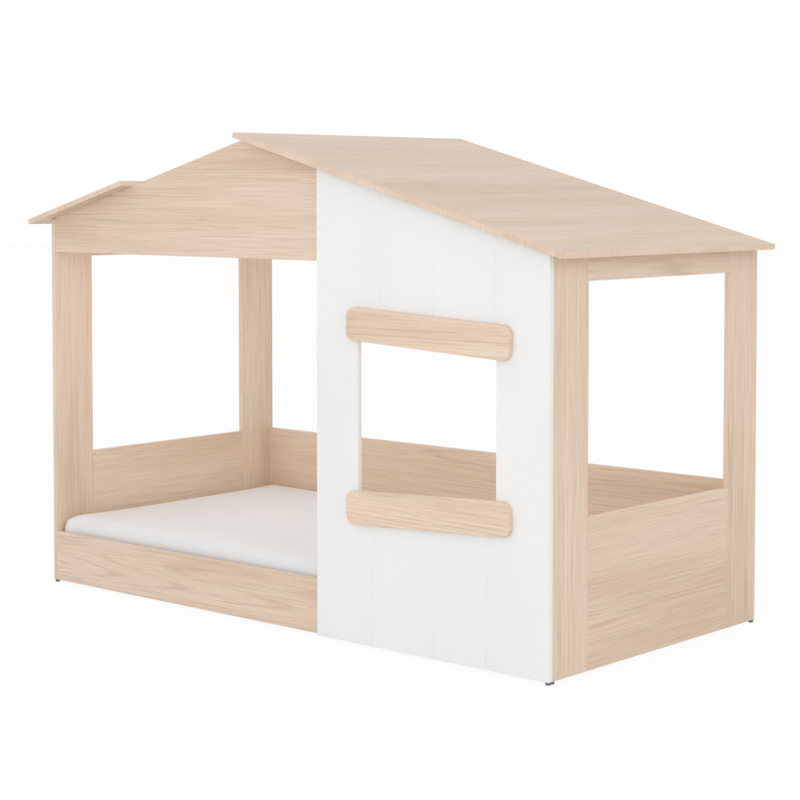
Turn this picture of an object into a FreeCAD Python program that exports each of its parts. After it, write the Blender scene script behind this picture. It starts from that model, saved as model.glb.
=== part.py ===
import FreeCAD, Part
import math
import os

# House frame bed for a child: two end frames, a low front rail, guard panels, two gables,
# a roof with one long and one short board, and a white facade panel with a window.
#
# Millimetres. X runs along the bed, from its left end frame to its right one, Y runs from
# the front to the back, and Z points up from the floor. The origin is on the floor, under
# the middle of the roof, which is the widest part of the bed.

os.makedirs("parts", exist_ok=True)
Vec = FreeCAD.Vector

# ---------------------------------------------------------------- driving sizes

board = 15.0                  # thickness of every board
frame_length = 1940.0         # between the outer faces of the end frames
frame_depth = 944.0           # from the front edges of the end frames to their back edges
glide_height = 8.0            # the boards stand this far above the floor

post_width = 146.0            # the four upright boards
guard_height = 390.0          # the end panels and the back panel
front_rail_height = 151.0     # the low board that is stepped over
left_top_rail_width = 115.0   # the cross boards at the tops of the end frames
right_top_rail_width = 76.0

ridge_from_left = 862.0       # the gables' peak, from the outer face of the left frame
ridge_height = 1364.0         # the gables' peak, above the floor
roof_pitch = 15.3             # both slopes, degrees
gable_toe = 45.0              # height of the gables at their lower end

eave_overhang = 58.0          # past the outer face of each end frame, at the board's top edge
roof_front_overhang = 46.0    # past the front edges of the end frames
ridge_lip = 7.0               # the long board reaches past the peak
open_slope = 500.0            # left open, from the peak down to the short board

facade_width = 789.0
window_width = 471.0
window_height = 466.0
window_from_right = 167.0     # from the window to the outer edge of the facade
window_sill_height = 387.0    # above the floor
groove_width = 2.4            # V-shaped, at the facade's surface
groove_depth = 1.2
groove_feet = (198.0, 415.0, 587.0)   # along the facade's foot, from its inner edge
groove_leans = (1.85, 0.0, 1.75)      # to the right, degrees

bar_length = 554.0            # the two bars over the window's upper and lower edges
bar_height = 89.0
bar_corner = 25.0
bar_tilt = 2.8                # the lintel falls to the right, the sill rises
bar_shift = 12.0              # to the right of the window's middle

slat_top_height = 97.0        # above the floor
slat_thickness = 12.0
slat_width = 70.0
slat_count = 14
slat_end_gap = 2.0            # between a slat and the board that it ends at
cleat_width = 25.0
cleat_height = 40.0
cleat_end_gap = 10.0          # at each end of the cleats and of the centre beam
beam_width = 30.0
beam_height = 40.0
leg_count = 3
leg_length = 70.0

mattress_height = 113.0       # at the middle of its crown
mattress_gap = 3.5            # all round, inside the boards
mattress_lift = 0.3           # between the slats and the mattress
mattress_corner = 6.0         # upright corners
mattress_edge = 14.0          # rounding along the upper and lower edges
mattress_bulge = 1.5          # the sides are this much fuller at half height
mattress_crown = 7.0          # rise of the top, inside its rounded edge
crown_reach = 110.0           # the crown rises over this width, and is level further in
edge_steps = 4                # rings that make a rounded edge
crown_steps = 4               # rings that make the crown

glide_radius = 7.0
glide_chamfer = 1.5
glide_pin_radius = 1.5
glide_pin_length = 14.0

dowel_radius = 4.0
dowel_length = 50.0           # in the end frames, half in each board
rail_dowel_length = 30.0      # at the ends of the long boards
dowel_chamfer = 1.0
dowel_pitch = 100.0           # between dowels down the side of an end panel

screw_radius = 2.0
screw_head_radius = 4.0
frame_screw_bite = 35.0       # into the end of a long board
slat_screw_bite = 18.0        # into a cleat
leg_screw_bite = 22.0         # into a leg
small_screw_radius = 1.7      # in the steel angles
small_head_radius = 3.4
small_head_height = 1.8
screw_skin = 3.0              # wood left between a screw's tip and the far face
slack = 0.1                   # round every fastener in its hole

gable_screw_rise = 22.0       # from the gable's foot
rail_screw_drop = 33.0        # from the rail's top edge
guard_screw_drop = 10.0       # from the back panel's top edge
facade_screw_margin = 60.0    # from the facade's edges
facade_screw_columns = 3      # a screw low down and one high up in each
bar_screw_margin = 60.0       # from the ends of a window bar
bar_screw_count = 3           # in each window bar
cleat_screw_count = 6

angle_leg = 30.0              # steel angles between the gables and the roof
angle_width = 40.0
angle_thickness = 2.0
angle_hole_pitch = 22.0
angle_hole_height = 18.0      # from the bend
angle_margin = 60.0           # from the ends of a gable's bearing edge
left_angle_count = 2          # on each gable, under the short board
right_angle_count = 3         # on each gable, under the long board

eave_block_length = 90.0      # wood blocks between the back posts and the roof
eave_block_thickness = 25.0
eave_block_height = 62.0
eave_screw_pitch = 54.0
eave_screw_drop = 40.0        # below the roof line at the post
eave_screw_inset = 44.0       # from the back post's inner edge to the middle of the pair

# ---------------------------------------------------------------- places worked out from them

left = -frame_length / 2
right = frame_length / 2
left_inside = left + board
right_inside = right - board
inside_length = right_inside - left_inside

roof_depth = frame_depth + roof_front_overhang
roof_front = -roof_depth / 2
front = roof_front + roof_front_overhang
back = front + frame_depth
front_inside = front + board
back_inside = back - board
middle_y = (front + back) / 2

foot = glide_height
guard_top = foot + guard_height
front_rail_top = foot + front_rail_height

slope = math.radians(roof_pitch)
ridge_x = left + ridge_from_left


def under_roof(x):
    """Height of the roof boards' underside at x."""
    return ridge_height - math.tan(slope) * abs(x - ridge_x)


gable_foot = min(under_roof(left_inside), under_roof(right_inside)) - gable_toe
facade_left = right - facade_width
window_right = right - window_from_right
window_left = window_right - window_width
window_top = window_sill_height + window_height
bar_x = (window_left + window_right) / 2 + bar_shift
slat_pitch = inside_length / slat_count
cleat_top = slat_top_height - slat_thickness
beam_foot = cleat_top - beam_height

# The two ends of the bed: outer face, inner face, and the direction that points outwards.
ends = {
    "left": (left, left_inside, -1),
    "right": (right, right_inside, 1),
}
# The two long sides: outer face, inner face, and the direction that points outwards.
sides = {
    "front": (front, front_inside, -1),
    "back": (back, back_inside, 1),
}

# ---------------------------------------------------------------- ways of making a piece


def block(x0, x1, y0, y1, z0, z1):
    """Box between two corners; the ends of each span may be given either way round."""
    low = Vec(min(x0, x1), min(y0, y1), min(z0, z1))
    return Part.makeBox(abs(x1 - x0), abs(y1 - y0), abs(z1 - z0), low)


def sheet_under_roof(x0, x1, z0, y0, y1):
    """Upright board from x0 to x1 with a level foot at z0 and its top edge on the roof line."""
    top = [x1, x0]
    if x0 < ridge_x < x1:
        top = [x1, ridge_x, x0]
    outline = [Vec(x0, y0, z0), Vec(x1, y0, z0)]
    outline += [Vec(x, y0, under_roof(x)) for x in top]
    face = Part.Face(Part.makePolygon(outline + outline[:1]))
    return face.extrude(Vec(0, y1 - y0, 0))


def on_slope(side, distance, y):
    """Point on the roof boards' underside, at a distance down one slope from the peak."""
    across = side * distance * math.cos(slope)
    return Vec(ridge_x + across, y, ridge_height - distance * math.sin(slope))


def roof_board(side, start, end):
    """Square-cut board on one slope, between two distances from the peak."""
    outwards = Vec(side * math.sin(slope), 0, math.cos(slope)) * board
    upper = on_slope(side, start, roof_front)
    lower = on_slope(side, end, roof_front)
    outline = [upper, lower, lower + outwards, upper + outwards]
    face = Part.Face(Part.makePolygon(outline + outline[:1]))
    return face.extrude(Vec(0, roof_depth, 0))


def turned(outline):
    """Solid of revolution about Z from (radius, z) points that start and end on the axis."""
    points = [Vec(r, 0, z) for r, z in outline]
    face = Part.Face(Part.makePolygon(points + points[:1]))
    return face.revolve(Vec(0, 0, 0), Vec(0, 0, 1), 360)


def countersunk_screw(length, extra=0.0):
    """Flat-headed wood screw along -Z, head at z = 0; extra makes the hole that it needs."""
    shank = screw_radius + extra
    head = screw_head_radius + extra
    cone_end = shank - head
    tip_start = -length - extra
    tip = (0, tip_start)
    if extra == 0:
        tip_start = -length + 2 * shank
        tip = (0, -length)
    body = turned([(0, 0), (head, 0), (shank, cone_end), (shank, tip_start), tip])
    if extra > 0:
        return body
    return body.cut(cross_recess(head, 0))


def cross_recess(head, top):
    """Crossed slots for the driver, cut down from a screw head's top."""
    reach = 0.55 * head
    half = 0.12 * head
    depth = 0.35 * head
    one = block(-reach, reach, -half, half, top - depth, top)
    other = block(-half, half, -reach, reach, top - depth, top)
    return one.fuse(other)


def pan_screw(length, extra=0.0):
    """Small screw along -Z whose round head stands on the surface at z = 0."""
    shank = small_screw_radius + extra
    if extra > 0:
        return Part.makeCylinder(shank, length + extra, Vec(0, 0, -length - extra))
    crown = small_head_height
    head = small_head_radius
    rim = 0.55 * crown
    flat = 0.6 * head
    outline = [(0, crown), (flat, crown), (head, rim), (head, 0), (shank, 0)]
    outline += [(shank, -length + 2 * shank), (0, -length)]
    return turned(outline).cut(cross_recess(head, crown))


def dowel(length, extra=0.0):
    """Wooden dowel along -Z from z = 0; extra makes the hole that it needs."""
    if extra > 0:
        return Part.makeCylinder(dowel_radius + extra, length + 2 * extra, Vec(0, 0, -length - extra))
    narrow = dowel_radius - dowel_chamfer
    outline = [(0, 0), (narrow, 0), (dowel_radius, -dowel_chamfer)]
    outline += [(dowel_radius, dowel_chamfer - length), (narrow, -length), (0, -length)]
    return turned(outline)


def glide(extra=0.0):
    """Floor glide with its pad under z = 0 and its pin above; extra makes the pin's hole."""
    pin = glide_pin_radius + extra
    if extra > 0:
        return Part.makeCylinder(pin, glide_pin_length + extra)
    rim = glide_radius - glide_chamfer
    outline = [(0, -glide_height), (rim, -glide_height), (glide_radius, glide_chamfer - glide_height)]
    outline += [(glide_radius, 0), (pin, 0), (pin, glide_pin_length), (0, glide_pin_length)]
    return turned(outline)


pieces = {}
groups = {}
holes = []


def set_in(shape, at, into):
    """Copy of a fastener that is drawn along -Z, with its head at a point and its tip further in."""
    placed = shape.copy()
    placed.Placement = FreeCAD.Placement(at, FreeCAD.Rotation(Vec(0, 0, -1), into))
    return placed


def fasten(group, make, length, at, into):
    """Add one fastener to its group, and remember the hole that the boards need for it."""
    groups.setdefault(group, []).append(set_in(make(length), at, into))
    holes.append(set_in(make(length, slack), at, into))


def spread(count, low, high):
    """Evenly spaced values from low to high, both included."""
    step = (high - low) / (count - 1)
    return [low + step * number for number in range(count)]


# ---------------------------------------------------------------- end frames

post_edges = {
    "front": (front, front + post_width),
    "back": (back - post_width, back),
}
panel_front = front + post_width
panel_back = back - post_width
top_rail_width = {"left": left_top_rail_width, "right": right_top_rail_width}

for end, (outer, inner, out_x) in ends.items():
    post_top = under_roof(outer)
    rail_foot = post_top - top_rail_width[end]
    for side, (y0, y1) in post_edges.items():
        pieces[f"{end}_{side}_post"] = block(outer, inner, y0, y1, foot, post_top)
    pieces[f"{end}_end_panel"] = block(outer, inner, panel_front, panel_back, foot, guard_top)
    pieces[f"{end}_top_rail"] = block(outer, inner, panel_front, panel_back, rail_foot, post_top)

    # Glued dowels run through the upright seams, half in the post and half in the cross board.
    middle_x = (outer + inner) / 2
    panel_dowels = max(2, int(guard_height // dowel_pitch))
    panel_margin = (guard_height - dowel_pitch * (panel_dowels - 1)) / 2
    heights = spread(panel_dowels, foot + panel_margin, guard_top - panel_margin)
    quarter = top_rail_width[end] / 4
    heights += [rail_foot + quarter, post_top - quarter]
    for seam in (panel_front, panel_back):
        for z in heights:
            start = Vec(middle_x, seam - dowel_length / 2, z)
            fasten("end_frame_dowels", dowel, dowel_length, start, Vec(0, 1, 0))

# ---------------------------------------------------------------- boards between the end frames

pieces["front_rail"] = block(left_inside, right_inside, front, front_inside, foot, front_rail_top)
pieces["back_panel"] = block(left_inside, right_inside, back_inside, back, foot, guard_top)
pieces["front_gable"] = sheet_under_roof(left_inside, right_inside, gable_foot, front, front_inside)
pieces["back_gable"] = sheet_under_roof(left_inside, right_inside, gable_foot, back_inside, back)

frame_screw_length = board + frame_screw_bite
post_dowel_depth = board - screw_skin
for end, (outer, inner, out_x) in ends.items():
    inwards = Vec(-out_x, 0, 0)
    gable_end = under_roof(inner)
    gable_screw = gable_foot + gable_screw_rise
    long_board_fixings = {
        "front": (front_rail_top - rail_screw_drop, [foot + front_rail_height / 3]),
        "back": (guard_top - guard_screw_drop, [foot + guard_height / 5, foot + guard_height * 3 / 5]),
    }
    for side, (screw_z, dowel_zs) in long_board_fixings.items():
        y = (sides[side][0] + sides[side][1]) / 2
        for z in (screw_z, gable_screw):
            fasten("frame_screws", countersunk_screw, frame_screw_length, Vec(outer, y, z), inwards)
        for z in dowel_zs + [(gable_screw + gable_end) / 2]:
            start = Vec(inner + out_x * post_dowel_depth, y, z)
            fasten("rail_dowels", dowel, rail_dowel_length, start, inwards)

# ---------------------------------------------------------------- facade with its window

facade_front = front - board
facade = sheet_under_roof(facade_left, right, foot, facade_front, front)
facade = facade.cut(
    block(window_left, window_right, facade_front, front, window_sill_height, window_top)
)
for groove_foot, lean in zip(groove_feet, groove_leans):
    # The cutter starts as far in front of the facade as it cuts into it.
    groove_x = facade_left + groove_foot
    below = foot - post_width
    outline = [
        Vec(groove_x - groove_width, facade_front - groove_depth, below),
        Vec(groove_x + groove_width, facade_front - groove_depth, below),
        Vec(groove_x, facade_front + groove_depth, below),
    ]
    section = Part.Face(Part.makePolygon(outline + outline[:1]))
    groove = section.extrude(Vec(0, 0, ridge_height + post_width - below))
    groove.rotate(Vec(groove_x, front, foot), Vec(0, 1, 0), lean)
    facade = facade.cut(groove)
pieces["facade_panel"] = facade

two_boards = 2 * board - screw_skin
facade_screw_xs = spread(
    facade_screw_columns, facade_left + facade_screw_margin, right_inside - facade_screw_margin
)
for x in facade_screw_xs:
    for z in (foot + front_rail_height / 2, gable_foot + gable_screw_rise):
        fasten("facade_screws", countersunk_screw, two_boards, Vec(x, front_inside, z), Vec(0, -1, 0))


def window_bar(centre_z, tilt):
    """Bar with rounded corners in front of the facade; a positive tilt lowers its right end."""
    half_length = bar_length / 2
    half_height = bar_height / 2
    bar = block(
        bar_x - half_length, bar_x + half_length,
        facade_front - board, facade_front,
        centre_z - half_height, centre_z + half_height,
    )
    corners = [edge for edge in bar.Edges if abs(edge.tangentAt(edge.FirstParameter).y) > 0.9]
    bar = bar.makeFillet(bar_corner, corners)
    bar.rotate(Vec(bar_x, front, centre_z), Vec(0, 1, 0), tilt)
    return bar


bar_places = {
    "window_lintel_bar": (window_top, bar_tilt, 1),
    "window_sill_bar": (window_sill_height, -bar_tilt, -1),
}
for name, (centre_z, tilt, away) in bar_places.items():
    pieces[name] = window_bar(centre_z, tilt)
    reach = bar_length / 2 - bar_screw_margin
    for along in spread(bar_screw_count, -reach, reach):
        drop = along * math.sin(math.radians(tilt))
        at = Vec(bar_x + along, front, centre_z + away * bar_height / 4 - drop)
        fasten("window_bar_screws", countersunk_screw, two_boards, at, Vec(0, -1, 0))

# ---------------------------------------------------------------- roof

slope_ends = {}
for end, (outer, inner, out_x) in ends.items():
    under_corner = abs(outer - ridge_x) + eave_overhang - board * math.sin(slope)
    slope_ends[end] = under_corner / math.cos(slope)
pieces["right_roof_board"] = roof_board(1, -ridge_lip, slope_ends["right"])
pieces["left_roof_board"] = roof_board(-1, open_slope, slope_ends["left"])

roof_screw_length = board + angle_thickness - screw_skin


def steel_angle(side, distance, y, into_y):
    """Steel angle in the corner between a gable's inner face and the roof board above it."""
    half = angle_width / 2
    flat = block(-half, half, 0, angle_leg, -angle_thickness, 0)
    upright = block(-half, half, 0, angle_thickness, -angle_leg, 0)
    angle = flat.fuse(upright).removeSplitter()
    if into_y < 0:
        angle = angle.mirror(Vec(0, 0, 0), Vec(0, 1, 0))
    angle.rotate(Vec(0, 0, 0), Vec(0, 1, 0), side * roof_pitch)
    angle.translate(on_slope(side, distance, y))
    return angle


angle_runs = {
    "left": (-1, left_angle_count, open_slope),
    "right": (1, right_angle_count, 0.0),
}
angles = []
for end, (side, count, start) in angle_runs.items():
    bearing_end = abs(ends[end][1] - ridge_x) / math.cos(slope)
    up_slope = Vec(side * math.sin(slope), 0, math.cos(slope))
    for distance in spread(count, start + angle_margin, bearing_end - angle_margin):
        for outer_y, inner_y, out_y in sides.values():
            into_y = -out_y
            angles.append(steel_angle(side, distance, inner_y, into_y))
            for along in (-angle_hole_pitch / 2, angle_hole_pitch / 2):
                bend = on_slope(side, distance + along, inner_y)
                roof_hole = bend + Vec(0, into_y * angle_hole_height, 0) - up_slope * angle_thickness
                gable_hole = bend + Vec(0, into_y * angle_thickness, 0) - up_slope * angle_hole_height
                fasten("roof_angle_screws", pan_screw, roof_screw_length, roof_hole, up_slope)
                fasten("roof_angle_screws", pan_screw, roof_screw_length, gable_hole, Vec(0, out_y, 0))
pieces["roof_angles"] = Part.makeCompound(angles)

# Each back post carries a wood block that the roof board is screwed to from below.
eave_y = panel_back + eave_screw_inset
for end, (outer, inner, out_x) in ends.items():
    block_foot = under_roof(inner) - eave_block_height
    free_face = inner - out_x * eave_block_thickness
    half = eave_block_length / 2
    pieces[f"{end}_eave_block"] = sheet_under_roof(
        min(inner, free_face), max(inner, free_face), block_foot, eave_y - half, eave_y + half
    )
    into_block = board + eave_block_thickness - screw_skin
    for y in (eave_y - eave_screw_pitch / 2, eave_y + eave_screw_pitch / 2):
        at = Vec(outer, y, under_roof(inner) - eave_screw_drop)
        fasten("eave_block_screws", countersunk_screw, into_block, at, Vec(-out_x, 0, 0))
    block_middle = (inner + free_face) / 2
    into_roof = under_roof(block_middle) - block_foot + board - screw_skin
    at = Vec(block_middle, eave_y, block_foot)
    fasten("eave_roof_screws", countersunk_screw, into_roof, at, Vec(0, 0, 1))

# ---------------------------------------------------------------- slatted base

cleat_left = left_inside + cleat_end_gap
cleat_right = right_inside - cleat_end_gap
cleat_foot = cleat_top - cleat_height
for side, (outer, inner, out_y) in sides.items():
    free_face = inner - out_y * cleat_width
    pieces[f"{side}_cleat"] = block(cleat_left, cleat_right, inner, free_face, cleat_foot, cleat_top)
    into_side = cleat_width + board - screw_skin
    for x in spread(cleat_screw_count, left_inside + slat_pitch, right_inside - slat_pitch):
        at = Vec(x, free_face, cleat_foot + cleat_height / 3)
        fasten("cleat_screws", countersunk_screw, into_side, at, Vec(0, out_y, 0))

pieces["centre_beam"] = block(
    cleat_left, cleat_right,
    middle_y - beam_width / 2, middle_y + beam_width / 2,
    beam_foot, cleat_top,
)
leg_xs = spread(leg_count + 2, left_inside, right_inside)[1:-1]
for number, x in enumerate(leg_xs, start=1):
    pieces[f"beam_leg_{number}"] = block(
        x - leg_length / 2, x + leg_length / 2,
        middle_y - beam_width / 2, middle_y + beam_width / 2,
        foot, beam_foot,
    )
    at = Vec(x, middle_y, cleat_top)
    fasten("leg_screws", countersunk_screw, beam_height + leg_screw_bite, at, Vec(0, 0, -1))

for number in range(slat_count):
    x = left_inside + slat_pitch * (number + 0.5)
    pieces[f"slat_{number + 1:02d}"] = block(
        x - slat_width / 2, x + slat_width / 2,
        front_inside + slat_end_gap, back_inside - slat_end_gap,
        cleat_top, slat_top_height,
    )
    for outer, inner, out_y in sides.values():
        at = Vec(x, inner - out_y * cleat_width / 2, slat_top_height)
        fasten("slat_screws", countersunk_screw, slat_thickness + slat_screw_bite, at, Vec(0, 0, -1))

# ---------------------------------------------------------------- glides

half_board = board / 2
glide_places = {}
for end, (outer, inner, out_x) in ends.items():
    for side, (outer_y, inner_y, out_y) in sides.items():
        glide_places[f"{end}_{side}_glide"] = [(outer - out_x * half_board, outer_y - out_y * half_board)]
glide_places["facade_glide"] = [(right - half_board, front - half_board)]
glide_places["leg_glides"] = [(x, middle_y) for x in leg_xs]
for name, places in glide_places.items():
    for x, y in places:
        at = Vec(x, y, foot)
        groups.setdefault(name, []).append(set_in(glide(), at, Vec(0, 0, -1)))
        holes.append(set_in(glide(slack), at, Vec(0, 0, -1)))

# ---------------------------------------------------------------- mattress

mattress_foot = slat_top_height + mattress_lift
mattress_top = mattress_foot + mattress_height
mattress_half_length = inside_length / 2 - mattress_gap
mattress_half_depth = (back_inside - front_inside) / 2 - mattress_gap


def mattress_ring(inset, z):
    """Level rounded rectangle round the mattress, drawn in from its fullest outline."""
    x = mattress_half_length - inset
    y = mattress_half_depth - inset
    r = mattress_corner + max(0, inset - edge_inset)
    cut = r * (1 - math.sqrt(0.5))
    edges = []
    for sx, sy in ((1, 1), (-1, 1), (-1, -1), (1, -1)):
        along_y = Vec(sx * x, middle_y + sy * (y - r), z)
        along_x = Vec(sx * (x - r), middle_y + sy * y, z)
        bend = Vec(sx * (x - cut), middle_y + sy * (y - cut), z)
        start, stop = (along_y, along_x) if sx == sy else (along_x, along_y)
        if edges:
            edges.append(Part.LineSegment(last, start).toShape())
        else:
            first = start
        edges.append(Part.Arc(start, bend, stop).toShape())
        last = stop
    edges.append(Part.LineSegment(last, first).toShape())
    return Part.Wire(edges)


edge_inset = mattress_bulge + mattress_edge
shoulder = mattress_top - mattress_crown
turns = [math.pi / 2 * step / edge_steps for step in range(edge_steps + 1)]
lower_edge = []
for turn in turns:
    inset = mattress_bulge + mattress_edge * (1 - math.sin(turn))
    lower_edge.append((inset, mattress_foot + mattress_edge * (1 - math.cos(turn))))
upper_edge = [(inset, shoulder + mattress_foot - z) for inset, z in reversed(lower_edge)]
full_side = [(0.0, (mattress_foot + shoulder) / 2)]
crown = []
for step in range(1, crown_steps + 1):
    part = step / crown_steps
    crown.append((edge_inset + crown_reach * part, shoulder + mattress_crown * (1 - (1 - part) ** 2)))
rings = [mattress_ring(inset, z) for inset, z in lower_edge + full_side + upper_edge + crown]
mattress = Part.makeLoft(rings, True, True)

# ---------------------------------------------------------------- holes, then one file per piece


def drilled(shape):
    """Cut every fastener's hole that reaches this piece."""
    near = [hole for hole in holes if hole.BoundBox.intersect(shape.BoundBox)]
    if not near:
        return shape
    return Part.makeCompound(shape.cut(near).Solids)


nodes = {name: drilled(shape) for name, shape in pieces.items()}
nodes.update({name: Part.makeCompound(solids) for name, solids in groups.items()})
nodes["mattress"] = mattress
for name, shape in nodes.items():
    shape.exportStep(f"parts/{name}.step")

whole = Part.makeCompound(list(nodes.values())).BoundBox
print(f"{len(nodes)} nodes, {sum(len(shape.Solids) for shape in nodes.values())} solids")
print(f"size {whole.XLength:.1f} x {whole.YLength:.1f} x {whole.ZLength:.1f} mm")
print(f"middle x {whole.Center.x:.2f}, y {whole.Center.y:.2f}, lowest z {whole.ZMin:.2f}")
print(f"gable foot {gable_foot:.1f}, post tops {under_roof(left):.1f} and {under_roof(right):.1f}")
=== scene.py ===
# %% [markdown]
# # A house frame bed, dressed in Blender
#
# This lesson takes the finished construction of a low child's bed with a house frame round it and gives
# it its looks. The construction is loaded as a fixed frame and is never moved. Every new piece is built
# in metres, in the same frame, so it lands where the construction says.

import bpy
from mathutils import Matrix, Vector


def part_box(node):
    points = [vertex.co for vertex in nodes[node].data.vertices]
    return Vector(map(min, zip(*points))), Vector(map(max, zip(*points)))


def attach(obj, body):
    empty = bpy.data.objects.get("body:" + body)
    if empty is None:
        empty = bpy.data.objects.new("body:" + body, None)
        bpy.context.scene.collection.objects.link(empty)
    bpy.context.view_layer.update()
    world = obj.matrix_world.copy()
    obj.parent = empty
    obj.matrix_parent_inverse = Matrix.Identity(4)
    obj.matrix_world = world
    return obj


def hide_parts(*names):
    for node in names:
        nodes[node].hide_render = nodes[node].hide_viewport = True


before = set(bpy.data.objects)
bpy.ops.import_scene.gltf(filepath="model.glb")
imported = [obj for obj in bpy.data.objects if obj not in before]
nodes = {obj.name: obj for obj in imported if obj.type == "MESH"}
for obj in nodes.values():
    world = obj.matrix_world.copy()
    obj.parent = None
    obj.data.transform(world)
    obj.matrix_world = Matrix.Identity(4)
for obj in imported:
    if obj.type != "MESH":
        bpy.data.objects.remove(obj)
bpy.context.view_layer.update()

# %% [markdown]
# The tools of the lesson are bmesh for shapes, and mathutils for points, turns and rays.

# %% Tools
from math import cos, pi, radians, sin

import bmesh
import bpy
from mathutils import Matrix, Vector
from mathutils.bvhtree import BVHTree

MM = 0.001
scene = bpy.context.scene
print("tools ready")

# %% [markdown]
# ## The camera
#
# The photograph is a product picture whose posts stand upright: the camera is a little above the roof's
# eaves, and its lens is shifted down, as an architect's camera would be. A camera that only tilts would
# make the posts lean together by several pixels. Half shift and half tilt keeps them upright to within two
# pixels, and still frames the bed well when the camera goes round it.

# %% Camera
camera_data = bpy.data.cameras.new("bed_camera")
camera_data.sensor_width = 36
camera_data.lens = 88.70
camera_data.shift_x = 0
camera_data.shift_y = -0.15
camera = bpy.data.objects.new("bed_camera", camera_data)
camera.location = (3.8752, -4.3014, 1.2256)
camera.rotation_euler = (radians(87.325), 0, radians(41.487))
scene.collection.objects.link(camera)
scene.camera = camera
print("camera stands", round(camera.location.length, 2), "m from the bed's middle")

# %% [markdown]
# ## Light, floor and background
#
# The object stands in soft, even studio light on a pale floor. The main lamp stands on the right front, a
# second one lights the right end, a third, high on the left, fills the roof, and a low one in front shines
# level through the opening on to the boards inside. The background is white for the camera and for
# reflections only, which keeps the light on the bed plain. The floor still takes the shadow.

# %% View and world
sky_level = 0.80
white_level = 1.0
scene.view_settings.view_transform = "Standard"

world = bpy.data.worlds.new("studio")
scene.world = world
world.use_nodes = True
sky = world.node_tree
sky.nodes.clear()
sky_out = sky.nodes.new("ShaderNodeOutputWorld")
sky_mix = sky.nodes.new("ShaderNodeMixShader")
sky_light = sky.nodes.new("ShaderNodeBackground")
sky_light.inputs["Color"].default_value = (1, 1, 1, 1)
sky_light.inputs["Strength"].default_value = sky_level
sky_white = sky.nodes.new("ShaderNodeBackground")
sky_white.inputs["Color"].default_value = (1, 1, 1, 1)
sky_white.inputs["Strength"].default_value = white_level


def seen_directly(tree):
    """1 where the camera, a reflection or clear plastic looks, and 0 for the light that falls on things."""
    path = tree.nodes.new("ShaderNodeLightPath")
    first = tree.nodes.new("ShaderNodeMath")
    first.operation = "MAXIMUM"
    tree.links.new(path.outputs["Is Camera Ray"], first.inputs[0])
    tree.links.new(path.outputs["Is Glossy Ray"], first.inputs[1])
    both = tree.nodes.new("ShaderNodeMath")
    both.operation = "MAXIMUM"
    tree.links.new(first.outputs[0], both.inputs[0])
    tree.links.new(path.outputs["Is Transmission Ray"], both.inputs[1])
    return both.outputs[0]


sky.links.new(seen_directly(sky), sky_mix.inputs[0])
sky.links.new(sky_light.outputs[0], sky_mix.inputs[1])
sky.links.new(sky_white.outputs[0], sky_mix.inputs[2])
sky.links.new(sky_mix.outputs[0], sky_out.inputs["Surface"])
print("the sky lights the bed at", sky_level, "and looks", white_level)

# %% Lamps


def soft_lamp(name, place, target, size, power):
    """A square area lamp that looks at a point; size is its side in metres, power is in watts."""
    data = bpy.data.lights.new(name, "AREA")
    data.shape = "SQUARE"
    data.size = size
    data.energy = power
    lamp = bpy.data.objects.new(name, data)
    lamp.location = place
    lamp.rotation_euler = (Vector(target) - Vector(place)).to_track_quat("-Z", "Y").to_euler()
    scene.collection.objects.link(lamp)


bed_middle = (0, 0, 0.6)
boards_inside = (-0.4, 0.5, 0.5)
large = 3.5
small = 1.6
soft_lamp("key_lamp", (3.4, -6.0, 2.4), bed_middle, large, 74)
soft_lamp("side_lamp", (6.5, -1.5, 2.6), bed_middle, large, 56)
soft_lamp("left_lamp", (-4.0, -5.0, 6.0), bed_middle, large, 32)
soft_lamp("low_lamp", (-0.9, -5.5, 0.7), boards_inside, small, 12)
print("four soft lamps")

# %% [markdown]
# The inside of the little house would still be gloomy, because its boards stand in the way of the lamps. A
# studio hides small lights inside. Here they are two soft balls of light under the roof, one in each half.
# They hang high, so that the mattress stays evenly lit when it is lifted. Neither the camera nor a
# reflection sees them.

# %% Lamps inside the house
ball_height = 0.95
ball_radius = 0.3
for name, place_x, power in (("left_ball_lamp", -0.45, 2.7), ("right_ball_lamp", 0.5, 3.6)):
    ball_data = bpy.data.lights.new(name, "POINT")
    ball_data.energy = power
    ball_data.shadow_soft_size = ball_radius
    ball = bpy.data.objects.new(name, ball_data)
    ball.location = (place_x, 0, ball_height)
    ball.visible_camera = False
    ball.visible_glossy = False
    scene.collection.objects.link(ball)
print("two hidden lamps inside")

# %% [markdown]
# The floor is one wide square. A photographer lets a white paper floor run on into the background, which
# needs strong light. Here a white glow is mixed in nearly all the way, for the camera and reflections
# only, so the floor looks as white as the background, sends no more light to the bed, and still shows a
# soft shadow.

# %% Floor
floor_reach = 30
glow_share = 0.94
floor_mesh = bpy.data.meshes.new("studio_floor")
floor_bm = bmesh.new()
bmesh.ops.create_grid(floor_bm, x_segments=1, y_segments=1, size=floor_reach)
floor_bm.to_mesh(floor_mesh)
floor_bm.free()
floor = bpy.data.objects.new("studio_floor", floor_mesh)
scene.collection.objects.link(floor)

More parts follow.
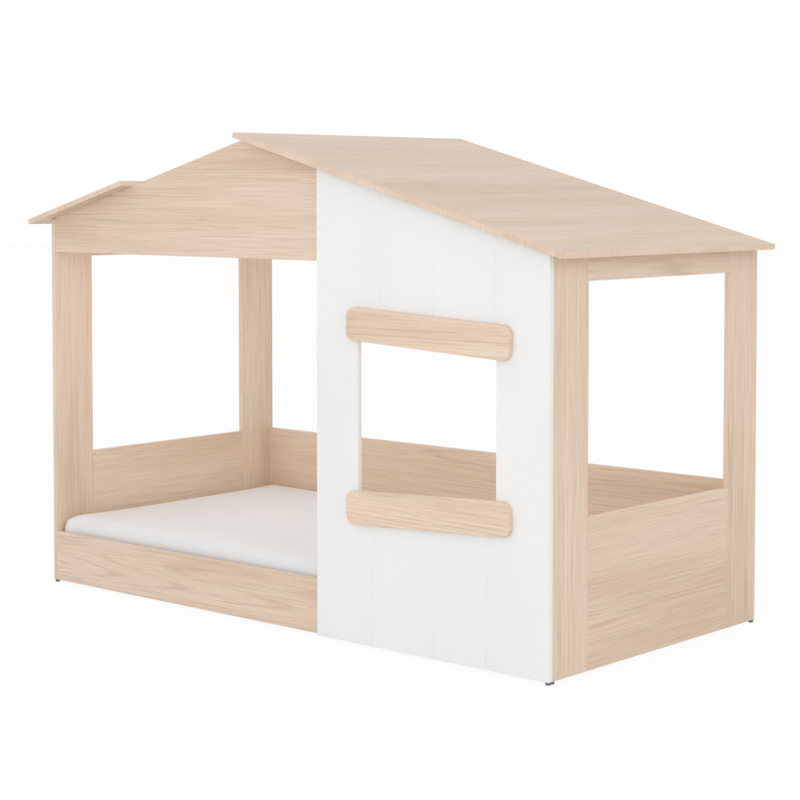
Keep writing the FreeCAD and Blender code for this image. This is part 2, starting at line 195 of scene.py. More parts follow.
floor_paint = bpy.data.materials.new("pale_floor")
floor_paint.use_nodes = True
tree = floor_paint.node_tree
tree.nodes.clear()
floor_out = tree.nodes.new("ShaderNodeOutputMaterial")
floor_mix = tree.nodes.new("ShaderNodeMixShader")
floor_diffuse = tree.nodes.new("ShaderNodeBsdfDiffuse")
floor_diffuse.inputs["Color"].default_value = (0.86, 0.86, 0.85, 1)
floor_glow = tree.nodes.new("ShaderNodeEmission")
floor_glow.inputs["Color"].default_value = (1, 1, 1, 1)
floor_glow.inputs["Strength"].default_value = 1.0
floor_share = tree.nodes.new("ShaderNodeMath")
floor_share.operation = "MULTIPLY"
floor_share.inputs[1].default_value = glow_share
tree.links.new(seen_directly(tree), floor_share.inputs[0])
tree.links.new(floor_share.outputs[0], floor_mix.inputs[0])
tree.links.new(floor_diffuse.outputs[0], floor_mix.inputs[1])
tree.links.new(floor_glow.outputs[0], floor_mix.inputs[2])
tree.links.new(floor_mix.outputs[0], floor_out.inputs["Surface"])
floor_mesh.materials.append(floor_paint)
print("floor and background are white, with a soft shadow")

# %% [markdown]
# ## A kit of material steps
#
# Every finish is a small node tree. A few helpers keep the lesson short. The first ones deal with colours:
# a shader works in linear numbers, so a colour that is read off a screen has to be converted.

# %% Colours


def srgb(red, green, blue):
    """A colour read as 0 to 255 screen values, in the linear numbers that shaders use."""

    def linear(value):
        value = value / 255
        return value / 12.92 if value <= 0.04045 else ((value + 0.055) / 1.055) ** 2.4

    return (linear(red), linear(green), linear(blue), 1)


def grey(value):
    """A grey of a linear value, as a ramp's colour."""
    return (value, value, value, 1)


def darkened(tone, share):
    """A tone times a share of its light."""
    return tuple(value * share for value in tone[:3]) + (1,)


print("a screen's middle grey is", round(srgb(128, 128, 128)[0], 3), "to a shader")

# %% [markdown]
# The next helpers add nodes. A number that is the same all over a surface is set on the shader's own
# socket. Only what changes from place to place comes in through a link.

# %% Node helpers


def new_finish(name, roughness=0.5):
    """A new material with a Principled shader, and the two things that later steps need of it."""
    material = bpy.data.materials.new(name)
    material.use_nodes = True
    shader = material.node_tree.nodes["Principled BSDF"]
    shader.inputs["Roughness"].default_value = roughness
    return material, material.node_tree, shader


def add(tree, kind, **sockets):
    """One node, with socket values by name. A name that starts with set_ is a setting of the node."""
    node = tree.nodes.new("ShaderNode" + kind)
    for name, value in sockets.items():
        if name.startswith("set_"):
            setattr(node, name[4:], value)
        else:
            node.inputs[name.replace("_", " ")].default_value = value
    return node


def plug_in(tree, value, socket):
    """Links a node's output to a socket, or sets the socket to a plain value."""
    if isinstance(value, bpy.types.NodeSocket):
        tree.links.new(value, socket)
    else:
        socket.default_value = value


def times(tree, first, second):
    """The product of an output and another output or a number."""
    product = add(tree, "Math", set_operation="MULTIPLY")
    plug_in(tree, first, product.inputs[0])
    plug_in(tree, second, product.inputs[1])
    return product.outputs[0]


print("node helpers ready")

# %% Ramps, mixes and bump


def ramp(tree, source, stops):
    """A colour ramp over a value: stops are (place, colour)."""
    node = tree.nodes.new("ShaderNodeValToRGB")
    elements = node.color_ramp.elements
    elements[0].position, elements[0].color = stops[0]
    elements[1].position, elements[1].color = stops[-1]
    for place, colour in stops[1:-1]:
        elements.new(place).color = colour
    tree.links.new(source, node.inputs["Fac"])
    return node.outputs["Color"]


def blend_colour(tree, amount, first, second, how="MIX"):
    """Two colours mixed by an amount, which is a number or a node's output."""
    node = tree.nodes.new("ShaderNodeMix")
    node.data_type = "RGBA"
    node.blend_type = how
    for number, value in ((0, amount), (6, first), (7, second)):
        plug_in(tree, value, node.inputs[number])
    return node.outputs[2]


def bumped(tree, shader, height, distance, strength):
    """Sends a height to the shader as bump; distance is the real depth in metres."""
    node = add(tree, "Bump", Distance=distance, Strength=strength)
    tree.links.new(height, node.inputs["Height"])
    tree.links.new(node.outputs["Normal"], shader.inputs["Normal"])


print("ramp, mix and bump ready")

# %% [markdown]
# Wood, paper, cloth and plating all start from noise on the piece's own coordinates. These are first
# turned, so that the grain runs along Z, and then stretched. The size of a noise is how many of its
# features fit in a metre along each axis, so a small last number draws it out along the grain.

# %% Noise
GRAIN_TURNS = {"x": (0, radians(90), 0), "y": (radians(90), 0, 0), "z": (0, 0, 0)}
NO_TURN = GRAIN_TURNS["z"]
NO_SHIFT = (0, 0, 0)


def stretched(tree, turn, size, shift):
    """The piece's own coordinates, turned so that the grain runs along Z, then stretched."""
    place = tree.nodes.new("ShaderNodeTexCoord")
    turned = add(tree, "Mapping", Rotation=turn, Location=shift)
    scaled = add(tree, "Mapping", Scale=size)
    tree.links.new(place.outputs["Object"], turned.inputs["Vector"])
    tree.links.new(turned.outputs["Vector"], scaled.inputs["Vector"])
    return scaled.outputs["Vector"]


def noise(tree, size, turn=NO_TURN, shift=NO_SHIFT, detail=2.0):
    """A noise from 0 to 1; detail is how many finer noises it has in it."""
    texture = add(tree, "TexNoise", Scale=1.0, Detail=detail, Roughness=0.5)
    tree.links.new(stretched(tree, turn, size, shift), texture.inputs["Vector"])
    return texture.outputs["Fac"]


print("noise ready, with the grain along", sorted(GRAIN_TURNS))

# %% [markdown]
# ## Light oak board
#
# The boards are particle board, faced with melamine paper that is printed as light oak. A print has what
# wood has: a slow drift of tone, flowing growth lines that close into long loops, thin darker streaks and
# short pores. Each is one noise, stretched along the grain. The growth lines are the height lines of a
# slow noise, taken with a sine, because height lines bend and close as real ones do. A wave texture
# would give stripes that never meet. All of it stays faint: the paper is a calm, pale one.

# %% Growth lines
OAK_LINES = 480
OAK_LINE_GAP = 0.55


def growth_lines(tree, slow, count, gap):
    """Height lines of a slow noise: count sets how many there are, gap how much stays clear of them."""
    waves = add(tree, "Math", set_operation="SINE")
    tree.links.new(times(tree, slow, count), waves.inputs[0])
    return ramp(tree, waves.outputs[0], [(gap, grey(0)), (1.0, grey(1))])


def oak_figure(tree, turn, shift, loops):
    """Growth lines that come and go over the board, and break up into strokes."""
    slow = noise(tree, (3.2, 3.2, loops), turn, shift, detail=1.5)
    lines = growth_lines(tree, slow, OAK_LINES, OAK_LINE_GAP)
    where = ramp(tree, noise(tree, (9, 9, 0.9), turn, shift), [(0.38, grey(0.15)), (0.66, grey(1))])
    broken = ramp(tree, noise(tree, (70, 70, 7), turn, shift), [(0.36, grey(0.25)), (0.56, grey(1))])
    return times(tree, times(tree, lines, where), broken)


print("growth lines:", OAK_LINES)

# %% Light oak print
OAK_TONES = [
    (0.32, srgb(216, 191, 168)),
    (0.50, srgb(223, 200, 178)),
    (0.68, srgb(226, 205, 187)),
]
OAK_LINE_TONE = srgb(184, 152, 126)
BAND_STOPS = [(0.3, grey(0.972)), (0.7, grey(1.02))]
STREAK_STOPS = [(0.34, (0.86, 0.84, 0.82, 1)), (0.50, grey(1.0)), (0.66, grey(1.045))]
PORE_STOPS = [(0.60, grey(1)), (0.70, (0.80, 0.75, 0.70, 1))]


def light_oak(name, grain, shift=NO_SHIFT, streaks=1.0, lift=1.0, loops=0.09):
    """Printed light oak. Streaks is how strong the figure is; a small value of loops draws them long."""
    material, tree, shader = new_finish(name, roughness=0.46)
    turn = GRAIN_TURNS[grain]
    base = ramp(tree, noise(tree, (8, 8, 0.9), turn, shift), OAK_TONES)
    figure = times(tree, oak_figure(tree, turn, shift, loops), 0.40 * streaks)
    lined = blend_colour(tree, figure, base, OAK_LINE_TONE)

    bands = ramp(tree, noise(tree, (60, 60, 0.9), turn, shift), BAND_STOPS)
    banded = blend_colour(tree, streaks, lined, bands, "MULTIPLY")
    fine = noise(tree, (340, 340, 5.0), turn, shift)
    streaked = blend_colour(tree, 0.85 * streaks, banded, ramp(tree, fine, STREAK_STOPS), "MULTIPLY")
    pores = noise(tree, (700, 700, 22), turn, shift)
    pored = blend_colour(tree, 0.5 * streaks, streaked, ramp(tree, pores, PORE_STOPS), "MULTIPLY")
    # A lift above 1 lightens the whole print; on the oak edge tape it is partly a painted highlight.
    lifted = blend_colour(tree, 1.0, pored, grey(lift), "MULTIPLY")
    tree.links.new(lifted, shader.inputs["Base Color"])
    tree.links.new(ramp(tree, fine, [(0.3, grey(0.42)), (0.7, grey(0.54))]), shader.inputs["Roughness"])
    bumped(tree, shader, pores, 0.0001, 0.5)
    return material


oak_faces = {axis: light_oak("light_oak_face_" + axis, axis) for axis in "xy"}
oak_faces["z"] = light_oak("light_oak_face_z", "z", streaks=1.15, loops=0.04)
# Oak edge tape, three percent lighter than the face: partly the tape's own tone, partly a painted highlight
# on the eased edges.
oak_edges = {
    axis: light_oak("light_oak_edge_" + axis, axis, shift=(0.37, 0.21, 0.11), streaks=0.8, lift=1.03)
    for axis in "xyz"
}
oak_bars = light_oak("light_oak_bar_x", "x", shift=(0.21, 0.13, 0.07), lift=1.07)
print("light oak:", len(oak_faces) + len(oak_edges) + 1, "materials")

# %% [markdown]
# ## White board
#
# The front wall is the same board under white melamine. It is satin, and its paper has a faint tooth, so
# it isn't a dead flat white: a slow drift of a few percent in tone and a very fine bump.

# %% White melamine


def white_melamine(name, tone):
    """Satin white paper facing."""
    material, tree, shader = new_finish(name, roughness=0.42)
    drift = ramp(tree, noise(tree, (5, 5, 2)), [(0.3, darkened(tone, 0.965)), (0.7, tone)])
    tree.links.new(drift, shader.inputs["Base Color"])
    tooth = noise(tree, (900, 900, 600), detail=3.0)
    gloss = ramp(tree, tooth, [(0.3, grey(0.36)), (0.7, grey(0.48))])
    tree.links.new(gloss, shader.inputs["Roughness"])
    bumped(tree, shader, tooth, 0.00005, 0.5)
    return material


white_face = white_melamine("white_melamine_face", srgb(237, 237, 237))
white_edge = white_melamine("white_melamine_edge", srgb(234, 234, 232))
print("white melamine ready")

# %% [markdown]
# ## Solid pine and beech
#
# The slats, cleats, beam and legs are planed pine, which is yellower than the print, with wider growth
# lines. The dowels are beech, which is pinker, with tiny flecks.

# %% Solid woods


def planed_wood(name, grain, light, dark, ring_count, fleck):
    """Real wood: growth lines from a slow noise, and short flecks."""
    material, tree, shader = new_finish(name, roughness=0.55)
    turn = GRAIN_TURNS[grain]
    slow = noise(tree, (5, 5, 0.4), turn, detail=1.5)
    wood = blend_colour(tree, growth_lines(tree, slow, ring_count, 0.2), light, dark)
    flecks = noise(tree, (260, 260, 9), turn, detail=3.0)
    fleck_tone = ramp(tree, flecks, [(0.35, grey(fleck)), (0.6, grey(1))])
    tree.links.new(blend_colour(tree, 0.8, wood, fleck_tone, "MULTIPLY"), shader.inputs["Base Color"])
    tree.links.new(ramp(tree, flecks, [(0.3, grey(0.62)), (0.7, grey(0.50))]), shader.inputs["Roughness"])
    bumped(tree, shader, flecks, 0.0002, 0.5)
    return material


pine = {
    axis: planed_wood("planed_pine_" + axis, axis, srgb(232, 206, 160), srgb(205, 165, 112), 90, 0.9)
    for axis in "xyz"
}
beech = planed_wood("beech_dowel_x", "x", srgb(222, 186, 150), srgb(200, 158, 120), 140, 0.85)
print("pine and beech ready")

# %% [markdown]
# ## Zinc and plastic
#
# Screws and angles are zinc-plated steel: metallic, light and a little cloudy from the plating bath. The
# glides are moulded plastic with a fine spark-eroded grain.

# %% Metal and plastic


def zinc_plate(name):
    """Bright zinc, with the clouds of plated small parts in its tone, gloss and bump."""
    material, tree, shader = new_finish(name, roughness=0.3)
    shader.inputs["Metallic"].default_value = 1.0
    clouds = noise(tree, (220, 220, 220), detail=3.0)
    tone = ramp(tree, clouds, [(0.3, srgb(196, 199, 203)), (0.7, srgb(226, 228, 230))])
    tree.links.new(tone, shader.inputs["Base Color"])
    tree.links.new(ramp(tree, clouds, [(0.3, grey(0.22)), (0.7, grey(0.38))]), shader.inputs["Roughness"])
    bumped(tree, shader, clouds, 0.00004, 0.4)
    return material


def moulded_plastic(name, tone):
    """Grey moulded plastic with a fine grain."""
    material, tree, shader = new_finish(name, roughness=0.5)
    grains = noise(tree, (1400, 1400, 1400), detail=4.0)
    speckled = ramp(tree, grains, [(0.3, darkened(tone, 0.8)), (0.7, tone)])
    tree.links.new(speckled, shader.inputs["Base Color"])
    bumped(tree, shader, grains, 0.00008, 0.6)
    return material


zinc = zinc_plate("bright_zinc")
glide_plastic = moulded_plastic("glide_plastic_grey", srgb(116, 116, 112))
print("zinc and plastic ready")

# %% [markdown]
# ## Cotton
#
# The mattress wears a white fitted sheet. Its weave is two fine waves across each other, which sink and
# rise as threads do; they are far too fine to see from across a room, but they break the highlight. Sheen
# on the shader gives the soft bright rim that cotton shows at its edges.

# %% Cotton sheet


def woven_cotton(name, tone, pitch):
    """Plain weave from two crossed waves on the piece's own coordinates; pitch is a thread's width."""
    material, tree, shader = new_finish(name, roughness=0.85)
    shader.inputs["Sheen Weight"].default_value = 0.25
    shader.inputs["Sheen Roughness"].default_value = 0.5
    place = tree.nodes.new("ShaderNodeTexCoord")
    threads = []
    for direction in ("X", "Y"):
        wave = add(
            tree, "TexWave", Scale=1 / pitch / 2, Distortion=0.6, Detail=1.0, set_bands_direction=direction,
        )
        tree.links.new(place.outputs["Object"], wave.inputs["Vector"])
        threads.append(wave.outputs["Fac"])
    weave = times(tree, threads[0], threads[1])
    cloth = ramp(tree, noise(tree, (6, 6, 6), detail=3.0), [(0.3, darkened(tone, 0.965)), (0.7, tone)])
    thread_tone = ramp(tree, weave, [(0.0, grey(0.95)), (0.6, grey(1))])
    tree.links.new(blend_colour(tree, 1.0, cloth, thread_tone, "MULTIPLY"), shader.inputs["Base Color"])
    bumped(tree, shader, weave, 0.0002, 0.4)
    return material


white_cotton = woven_cotton("white_cotton_sheet", srgb(235, 235, 236), 0.8 * MM)
seam_cotton = woven_cotton("white_cotton_tape", srgb(232, 231, 229), 1.2 * MM)
print("cotton ready")

# %% [markdown]
# ## Boards
#
# A real board is never razor sharp: its edge tape is scraped to a small round, which catches a thin line
# of light. The construction's boards have all their bores and seats but sharp edges. Modelling each board
# again from a box would lose the bores, and a Bevel modifier can't work on the loose triangles that come
# from the construction. So each board is copied, its triangles are merged and dissolved into flat faces,
# and only its long outer edges are bevelled. Faces across the board's thickness take the edge tape; the
# oak tape is printed a little lighter than the face, partly its own tone and partly a painted highlight
# along the rounded edges. The copy also brings shading directions for the old triangles. They would draw
# false light and dark wedges over the merged faces, so they are removed, and each face is shaded flat.

# %% Making a piece
SAME_POINT = 0.001 * MM


def piece_from(bm, name, materials, body):
    """Turns a bmesh into an object that rides on a body of the frame."""
    mesh = bpy.data.meshes.new(name)
    bm.to_mesh(mesh)
    bm.free()
    for material in materials:
        mesh.materials.append(material)
    piece = bpy.data.objects.new(name, mesh)
    scene.collection.objects.link(piece)
    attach(piece, body)
    return piece


print("points closer than", SAME_POINT, "m are one point")

# %% Board helper
FLAT_ENOUGH = radians(0.4)
SHARP_ENOUGH = radians(25)
LONG_ENOUGH = 12 * MM
FACING = 0.9


def thin_axis(low, high):
    """The direction of a board's thickness, as a unit vector, for a board square to the axes."""
    spans = high - low
    thinnest = min(range(3), key=lambda axis: spans[axis])
    return Vector([1.0 if axis == thinnest else 0.0 for axis in range(3)])


def eased_board(node, face, edge, ease=0.8 * MM, thickness=None):
    """A copy of a board with its long edges rounded, and edge tape on all that isn't face."""
    low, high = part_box(node)
    across = thickness or thin_axis(low, high)
    bm = bmesh.new()
    bm.from_mesh(nodes[node].data)
    bmesh.ops.remove_doubles(bm, verts=bm.verts, dist=SAME_POINT)
    bmesh.ops.dissolve_limit(bm, angle_limit=FLAT_ENOUGH, verts=bm.verts, edges=bm.edges)
    long_edges = [
        line for line in bm.edges
        if line.calc_length() > LONG_ENOUGH and line.calc_face_angle_signed(0) > SHARP_ENOUGH
    ]
    bmesh.ops.bevel(
        bm, geom=long_edges, offset=ease, offset_type="OFFSET", affect="EDGES",
        segments=2, profile=0.5, material=-1, clamp_overlap=False,
    )
    for side in bm.faces:
        side.material_index = 0 if abs(side.normal.dot(across)) > FACING else 1
        side.smooth = False
    piece = piece_from(bm, node + "_eased", [face, edge], "bed_frame")
    old_shading = piece.data.attributes.get("custom_normal")
    if old_shading:
        piece.data.attributes.remove(old_shading)
    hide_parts(node)


print("board helper ready")

# %% [markdown]
# The grain always runs along a board's length: upright in the posts, from front to back in the end panels
# and top rails, and along the bed in the rails, gables and back panel.

# %% Oak boards of the frame
oak_boards = {
    "z": ["left_front_post", "left_back_post", "right_front_post", "right_back_post"],
    "y": ["left_end_panel", "right_end_panel", "left_top_rail", "right_top_rail"],
    "x": ["front_rail", "back_panel", "front_gable", "back_gable"],
}
for grain, names in oak_boards.items():
    for node in names:
        eased_board(node, oak_faces[grain], oak_edges[grain])
print("oak boards:", sum(len(names) for names in oak_boards.values()))

# %% [markdown]
# The two roof boards slope, so their thickness isn't along an axis. It is found from the construction: the
# largest flat side of a board faces straight up out of the slope.

# %% Roof boards


def largest_side(node):
    """The direction in which a board's largest triangles face."""
    mesh = nodes[node].data
    widest = max(mesh.polygons, key=lambda side: side.area)
    return widest.normal.copy()


for node in ("left_roof_board", "right_roof_board"):
    facing = largest_side(node)
    eased_board(node, oak_faces["y"], oak_edges["z"], thickness=facing)
    print(node, "faces", [round(value, 3) for value in facing])

# %% [markdown]
# The white front wall has a window and three plank grooves cut in it. Its edges are eased a little less
# than the oak's, so the grooves keep their width.

# %% Front wall
eased_board("facade_panel", white_face, white_edge, ease=0.5 * MM)
print("front wall ready")

# %% [markdown]
# ## Window bars
#
# Two short boards lie over the window's head and foot, a few degrees off level, as if nailed up by hand.
# Their corners are round. Each starts as a cube: its four corner edges are bevelled with the corner's
# radius, and then the rims of its faces with the small round of the edge tape.

# %% Window bars
bar_middle = 579.5 * MM
bar_length = 554 * MM
bar_height = 89 * MM
bar_corner = 25 * MM
bar_back = -464 * MM
bar_thick = 15 * MM
bar_ease = 1.2 * MM
bar_lean = radians(2.8)
lintel_height = 853 * MM
sill_height = 387 * MM


def window_bar(node, height, lean):
    """A round-cornered bar in the frame's place, leaning about its own middle."""
    bm = bmesh.new()
    bmesh.ops.create_cube(bm, size=1.0)
    bmesh.ops.scale(bm, vec=(bar_length, bar_thick, bar_height), verts=bm.verts)
    corners = [
        line for line in bm.edges
        if abs(line.verts[0].co.y - line.verts[1].co.y) > bar_thick / 2
    ]
    bmesh.ops.bevel(
        bm, geom=corners, offset=bar_corner, offset_type="OFFSET", affect="EDGES",
        segments=14, profile=0.5, material=-1,
    )
    rims = [
        line for line in bm.edges
        if abs(line.verts[0].co.y - line.verts[1].co.y) < MM and line.calc_face_angle(0) > radians(60)
    ]
    bmesh.ops.bevel(
        bm, geom=rims, offset=bar_ease, offset_type="OFFSET", affect="EDGES",
        segments=3, profile=0.5, material=-1,
    )
    for side in bm.faces:
        side.material_index = 0 if abs(side.normal.y) > FACING else 1
    bmesh.ops.rotate(bm, verts=bm.verts, cent=(0, 0, 0), matrix=Matrix.Rotation(lean, 3, "Y"))
    bmesh.ops.translate(bm, verts=bm.verts, vec=(bar_middle, bar_back - bar_thick / 2, height))
    piece = piece_from(bm, node + "_rounded", [oak_bars, oak_edges["x"]], "bed_frame")
    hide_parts(node)


window_bar("window_lintel_bar", lintel_height, bar_lean)
window_bar("window_sill_bar", sill_height, -bar_lean)
print("window bars ready")

# %% [markdown]
# ## The slatted base
#
# Under the mattress lie planed pine slats on two cleats and a middle beam, which stands on three legs.
# They are eased a little more than the boards, as a planer's chamfer does. So are the two small blocks
# under the eaves.

# %% Slatted base
slat_names = sorted(name for name in nodes if name.startswith("slat_") and name[5:].isdigit())
for node in slat_names:
    eased_board(node, pine["y"], pine["y"], ease=1.5 * MM)
for node in ("front_cleat", "back_cleat", "centre_beam"):
    eased_board(node, pine["x"], pine["x"], ease=1.2 * MM)
for node in ("beam_leg_1", "beam_leg_2", "beam_leg_3", "left_eave_block", "right_eave_block"):
    eased_board(node, pine["z"], pine["z"], ease=1.0 * MM)
print("slats:", len(slat_names))

# %% [markdown]
# ## Glides
#
# The bed stands on small nail-in glides. Each is turned: a profile of a few points is spun round the
# glide's own axis. Its foot is flat, and its rim is rounded so that it slides over a carpet.

# %% Glides
glide_height = 8 * MM
turning_steps = 28


def glide(bm, centre, radius, height):
    """One turned glide, from its foot up to the board."""
    profile = [
        (0, 0), (radius * 0.72, 0), (radius * 0.94, height * 0.08), (radius, height * 0.3),
        (radius, height * 0.8), (radius * 0.9, height), (0.0, height),
    ]
    points = [bm.verts.new((centre[0] + out, centre[1], centre[2] + up)) for out, up in profile]
    lines = [bm.edges.new(pair) for pair in zip(points, points[1:])]
    bmesh.ops.spin(
        bm, geom=points + lines, cent=centre, axis=(0, 0, 1), angle=2 * pi, steps=turning_steps,
        use_merge=True,
    )


def glide_piece(node):
    """The glides of one node, each turned on its own place."""
    low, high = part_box(node)
    radius = min(high.x - low.x, high.y - low.y) / 2
    count = 3 if node == "leg_glides" else 1
    bm = bmesh.new()
    for number in range(count):
        share = number / max(count - 1, 1)
        across = low.x + radius + share * (high.x - low.x - 2 * radius)
        glide(bm, Vector((across, (low.y + high.y) / 2, 0)), radius, glide_height)
    bmesh.ops.remove_doubles(bm, verts=bm.verts, dist=SAME_POINT)
    bmesh.ops.recalc_face_normals(bm, faces=bm.faces)
    piece = piece_from(bm, node + "_turned", [glide_plastic], "bed_frame")
    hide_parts(node)
    for side in piece.data.polygons:
        side.use_smooth = True


glide_names = sorted(name for name in nodes if "glide" in name)
for node in glide_names:
    glide_piece(node)
print("glides:", glide_names)

# %% [markdown]
# ## Metal and dowels from the construction
#
# The screws, angles and dowels already have their true shapes, so they stay, and only get their finish.

# %% Carried-over hardware
for name, part in nodes.items():
    if name.endswith("_screws") or name == "roof_angles":
        metal_or_wood = zinc
    elif name.endswith("_dowels"):
        metal_or_wood = beech
    else:
        continue
    for place in part.material_slots:
        place.material = metal_or_wood
print("hardware finished")

# %% [markdown]
# ## The mattress
#
# A foam mattress under a tight fitted sheet is a crowned pad: it is fullest in the middle, its edges are
# soft, and its corners are tight and droop a little. The pad starts a little smaller than the space it
# fills, as a box with softly bevelled rims. It is remeshed into even small squares, and then a cloth
# simulation blows it up a little, as foam pushes a sheet out. The move of every point is capped, and the
# pad is kept inside its space. One subdivision smooths it.

# %% Mattress pad
pad_low, pad_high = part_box("mattress")
room_to_swell = Vector((2 * MM, 2 * MM, 7 * MM))
rim_round = 30 * MM


def starting_pad():
    """A box a little smaller than the mattress, with soft rims that meet in tight corners."""
    low, high = pad_low + room_to_swell, pad_high - room_to_swell
    low.z = pad_low.z
    bm = bmesh.new()
    bmesh.ops.create_cube(bm, size=1.0)
    bmesh.ops.scale(bm, vec=high - low, verts=bm.verts)
    bmesh.ops.translate(bm, vec=(low + high) / 2, verts=bm.verts)
    rims = [line for line in bm.edges if abs(line.verts[0].co.z - line.verts[1].co.z) < MM]
    bmesh.ops.bevel(
        bm, geom=rims, offset=rim_round, offset_type="OFFSET", affect="EDGES",
        segments=6, profile=0.5, material=-1,
    )
    return bm


pad = piece_from(starting_pad(), "mattress_pad", [white_cotton], "mattress")
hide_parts("mattress")
print("starting pad:", len(pad.data.vertices), "points")

# %% [markdown]
# The remesh and the cloth are modifiers whose result is read back as a mesh, so that none is left on
# the finished piece. A fitted sheet is sewn at its four corners, which hold their shape while the rest
# swells, so the points there are pinned.

# %% Even squares
square_size = 13 * MM


def apply_modifiers(piece):
    """Puts the modified shape into the piece's own mesh."""
    graph = bpy.context.evaluated_depsgraph_get()
    shaped = bpy.data.meshes.new_from_object(piece.evaluated_get(graph))
    piece.modifiers.clear()
    old = piece.data
    piece.data = shaped
    bpy.data.meshes.remove(old)
    shaped.name = piece.name


squares = pad.modifiers.new("even_squares", "REMESH")
squares.mode = "VOXEL"
squares.voxel_size = square_size
squares.use_smooth_shade = True
apply_modifiers(pad)
before = [point.co.copy() for point in pad.data.vertices]
print("remeshed:", len(before), "points")

# %% Mattress cloth
corner_reach = 30 * MM
foam_pressure = 4
last_frame = 20
corners = pad.vertex_groups.new(name="sewn_corners")
for point in pad.data.vertices:
    gap_x = min(abs(point.co.x - pad_low.x), abs(point.co.x - pad_high.x))
    gap_y = min(abs(point.co.y - pad_low.y), abs(point.co.y - pad_high.y))
    if max(gap_x, gap_y) < corner_reach:
        corners.add([point.index], 1.0, "REPLACE")

cloth = pad.modifiers.new("foam_push", "CLOTH")
cloth.settings.vertex_group_mass = corners.name
cloth.settings.use_pressure = True
cloth.settings.uniform_pressure_force = foam_pressure
cloth.settings.effector_weights.gravity = 0
for frame_number in range(1, last_frame + 1):
    scene.frame_set(frame_number)
apply_modifiers(pad)
scene.frame_set(1)
print("cloth:", "blown up in " + str(last_frame) + " frames")

# %% [markdown]
# The pressure rounds the pad, but it may also draw its ends in by a few millimetres, as a balloon's are.
# Foam doesn't shrink, so the pad is stretched back to the length and width of its space. Its underside
# stays flat, because it lies on the slats. The sheet only wraps the underside's rim, so the bare middle
# lies higher by the thickness of the sheet's hem.

# %% Pad in its space
most = 9 * MM
hem_reach = 75 * MM
hem_thick = 1.6 * MM
for point, start in zip(pad.data.vertices, before):
    move = point.co - start
    if move.length > most:
        point.co = start + move * (most / move.length)
swollen_low = Vector([min(point.co[axis] for point in pad.data.vertices) for axis in range(3)])
swollen_high = Vector([max(point.co[axis] for point in pad.data.vertices) for axis in range(3)])
for point in pad.data.vertices:
    for axis in range(2):
        share = (point.co[axis] - swollen_low[axis]) / (swollen_high[axis] - swollen_low[axis])
        point.co[axis] = pad_low[axis] + share * (pad_high[axis] - pad_low[axis])
    point.co.z = min(max(point.co.z, pad_low.z), pad_high.z)
    from_side = min(
        point.co.x - pad_low.x, pad_high.x - point.co.x, point.co.y - pad_low.y, pad_high.y - point.co.y,
    )
    if from_side > hem_reach and point.co.z < pad_low.z + hem_thick:
        point.co.z = pad_low.z + hem_thick
rounder = pad.modifiers.new("rounder", "SUBSURF")
rounder.levels = 1
rounder.render_levels = 1
print("pad before it was stretched:", [round(value * 1000, 1) for value in swollen_high - swollen_low])

# %% [markdown]
# ## Seams of the sheet
#
# A fitted sheet has a seam down each corner, and an elastic hem that gathers it under the mattress. Both
# come after the cloth, because the remesh would swallow them. A seam is a thin raised line on the finished
# surface, so its points are found by looking from outside towards a point inside the corner. The hem is a
# cord that wavers as gathers do. Both are round sections along a path, which a curve does best.

# %% Corner seams
seam_radius = 0.9 * MM
corner_depth = 40 * MM
seam_foot = 10 * MM
look_from = 300 * MM
side_steps = 6
rim_angles = (12, 24, 36, 48, 60, 72)


def finished_surface(piece):
    """The piece with its modifiers, ready to be looked at by rays."""
    graph = bpy.context.evaluated_depsgraph_get()
    return BVHTree.FromObject(piece, graph)


def corner_seam(surface, side_x, side_y):
    """Points up one corner and a little way over its rim."""
    inner_x = (pad_high.x if side_x > 0 else pad_low.x) - side_x * corner_depth
    inner_y = (pad_high.y if side_y > 0 else pad_low.y) - side_y * corner_depth
    outward = Vector((side_x, side_y, 0)).normalized()
    rim_height = pad_high.z - corner_depth
    low_height = pad_low.z + seam_foot
    climb = (rim_height - low_height) / (side_steps - 1)
    views = [(low_height + climb * step, 0) for step in range(side_steps)]
    views += [(rim_height, radians(angle)) for angle in rim_angles]
    points = []
    for height, rise in views:
        direction = outward * cos(rise) + Vector((0, 0, sin(rise)))
        start = Vector((inner_x, inner_y, height)) + direction * look_from
        points.append(surface.ray_cast(start, -direction)[0])
    return points


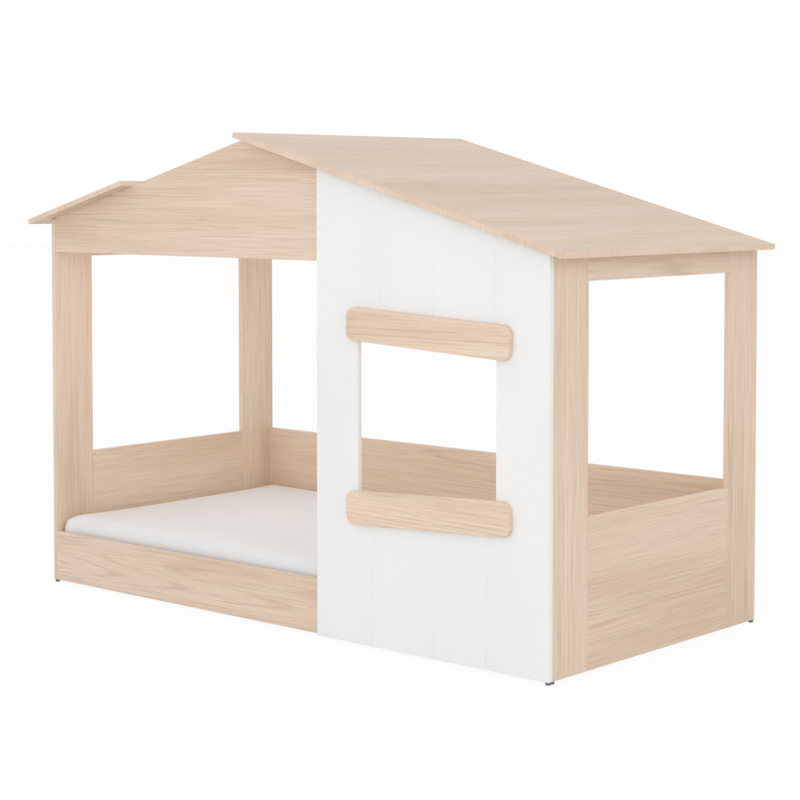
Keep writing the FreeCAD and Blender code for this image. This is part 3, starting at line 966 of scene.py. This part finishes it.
pad_surface = finished_surface(pad)
seam_lines = [corner_seam(pad_surface, side_x, side_y) for side_x in (-1, 1) for side_y in (-1, 1)]
print("seam points:", sum(len(line) for line in seam_lines))

# %% [markdown]
# The hem's line goes round the underside. Its points swing to one side and the other, and a second, slower
# wave makes some gathers deeper than others, so that it doesn't look like a machine's zigzag.

# %% Hem line
hem_radius = 0.8 * hem_thick
gather = 45 * MM
swing = 2.5 * MM
points_a_gather = 4


def hem_path():
    """A closed wavering line round the underside."""
    inset = Vector((hem_reach, hem_reach))
    low, high = pad_low.xy + inset, pad_high.xy - inset
    ring = [low, Vector((high.x, low.y)), high, Vector((low.x, high.y))]
    points = []
    for corner, following in zip(ring, ring[1:] + ring[:1]):
        along = following - corner
        across = Vector((-along.y, along.x)).normalized()
        count = points_a_gather * round(along.length / gather)
        for step in range(count):
            waver = swing * sin(2 * pi * step / points_a_gather + 0.7) * sin(step * 0.37)
            flat = corner + along * (step / count) + across * waver
            points.append(Vector((flat.x, flat.y, pad_low.z + hem_radius + 0.1 * MM)))
    return points


hem_line = hem_path()
print("hem points:", len(hem_line))

# %% Seams and hem


def round_line(name, lines, radius, closed):
    """Round cords along lines of points, as one mesh piece of the mattress."""
    data = bpy.data.curves.new(name + "_path", "CURVE")
    data.dimensions = "3D"
    data.bevel_depth = radius
    data.bevel_resolution = 1
    data.use_fill_caps = not closed
    for line in lines:
        spline = data.splines.new("POLY")
        spline.points.add(len(line) - 1)
        for point, place in zip(spline.points, line):
            point.co = (*place, 1)
        spline.use_cyclic_u = closed
    carrier = bpy.data.objects.new(name + "_path", data)
    mesh = bpy.data.meshes.new_from_object(carrier)
    bpy.data.objects.remove(carrier)
    mesh.name = name
    mesh.materials.clear()
    mesh.materials.append(seam_cotton)
    piece = bpy.data.objects.new(name, mesh)
    scene.collection.objects.link(piece)
    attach(piece, "mattress")


round_line("mattress_corner_seams", seam_lines, seam_radius, False)
round_line("mattress_elastic_hem", [hem_line], hem_radius, True)
print("sheet sewn")
